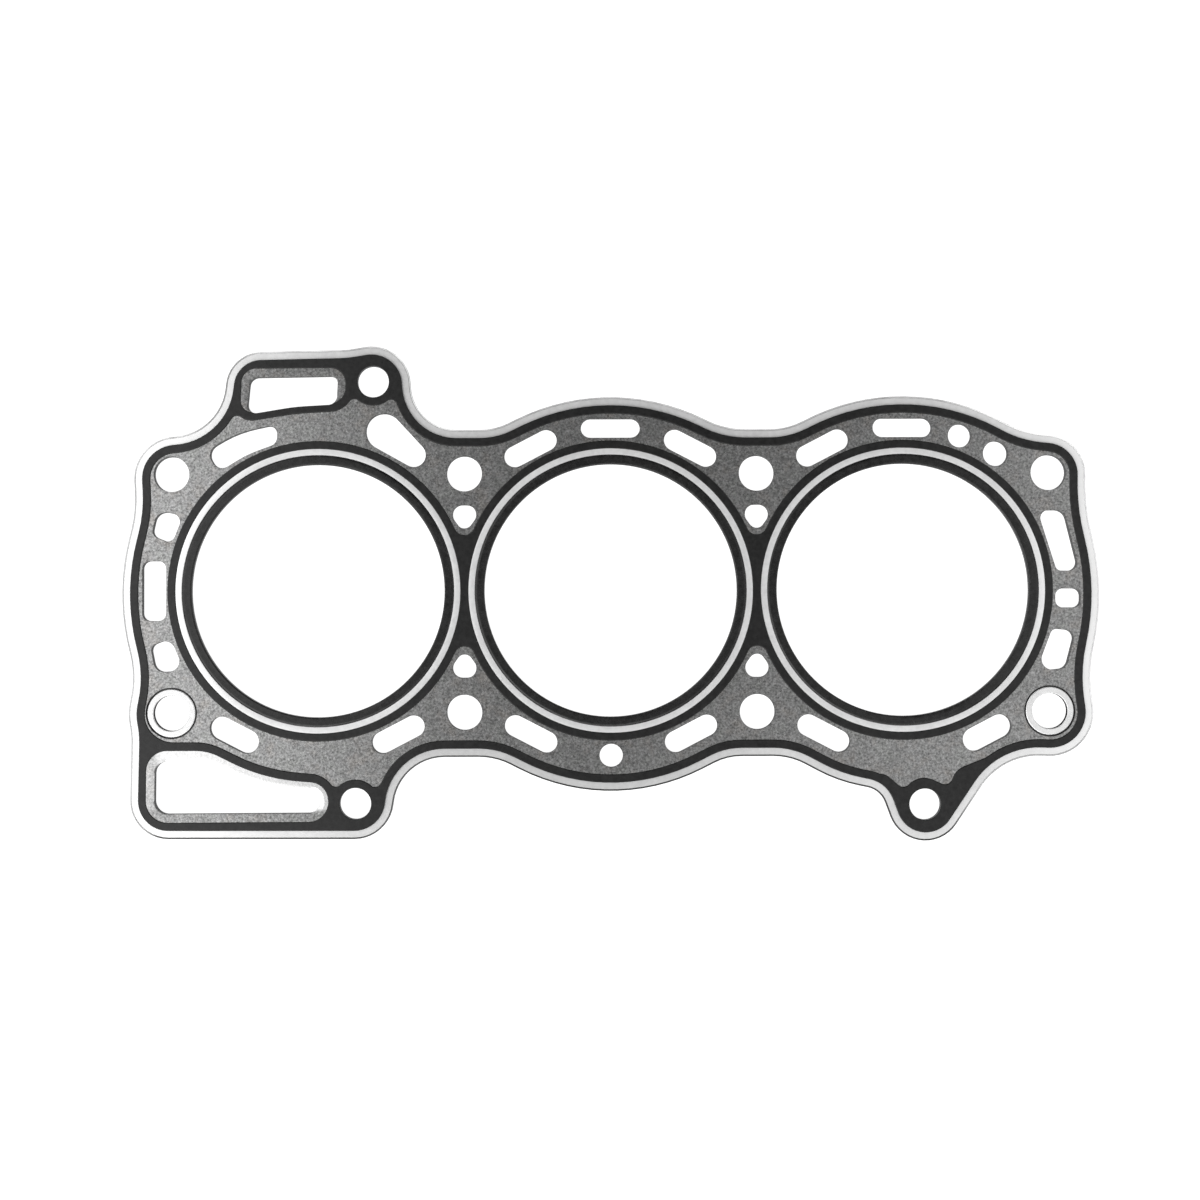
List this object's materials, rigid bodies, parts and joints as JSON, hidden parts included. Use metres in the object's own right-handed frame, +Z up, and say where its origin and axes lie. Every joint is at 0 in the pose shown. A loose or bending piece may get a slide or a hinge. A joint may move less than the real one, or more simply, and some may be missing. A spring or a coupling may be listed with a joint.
{
  "type": "cylinder head gasket",
  "caption": "Flat multi-layer cylinder head gasket with ringed bores in a row, bolt holes, coolant passages, dark sealing beads and a bare steel border.",
  "frame": {"origin": "on the axis of the middle bore, in the plane that the gasket rests on", "axes": "+X runs along the row of bores, +Y points to the back edge with the narrow window, +Z is up through the thickness"},
  "size_m": [0.2944, 0.1493, 0.0018],
  "materials": {
    "carrier_steel": "satin",
    "graphite_facing": "fine grained",
    "sealing_bead": "matte",
    "fire_ring_steel": "dark coated",
    "stopper_steel": "bright",
    "eyelet_steel": "satin"
  },
  "bodies": {
    "root": {"carrier_plate": "carrier_steel", "upper_facing": "graphite_facing", "upper_perimeter_bead": "sealing_bead", "upper_bore_bead": "sealing_bead", "upper_drain_window_rim": "graphite_facing", "upper_oil_window_rim": "graphite_facing", "upper_stopper_ring_1": "stopper_steel", "upper_stopper_ring_2": "stopper_steel", "upper_stopper_ring_3": "stopper_steel", "lower_facing": "graphite_facing", "lower_perimeter_bead": "sealing_bead", "lower_bore_bead": "sealing_bead", "lower_drain_window_rim": "graphite_facing", "lower_oil_window_rim": "graphite_facing", "lower_stopper_ring_1": "stopper_steel", "lower_stopper_ring_2": "stopper_steel", "lower_stopper_ring_3": "stopper_steel", "fire_ring_1": "fire_ring_steel", "fire_ring_2": "fire_ring_steel", "fire_ring_3": "fire_ring_steel", "dowel_eyelet_left": "eyelet_steel", "dowel_eyelet_right": "eyelet_steel"}
  },
  "joints": []
}
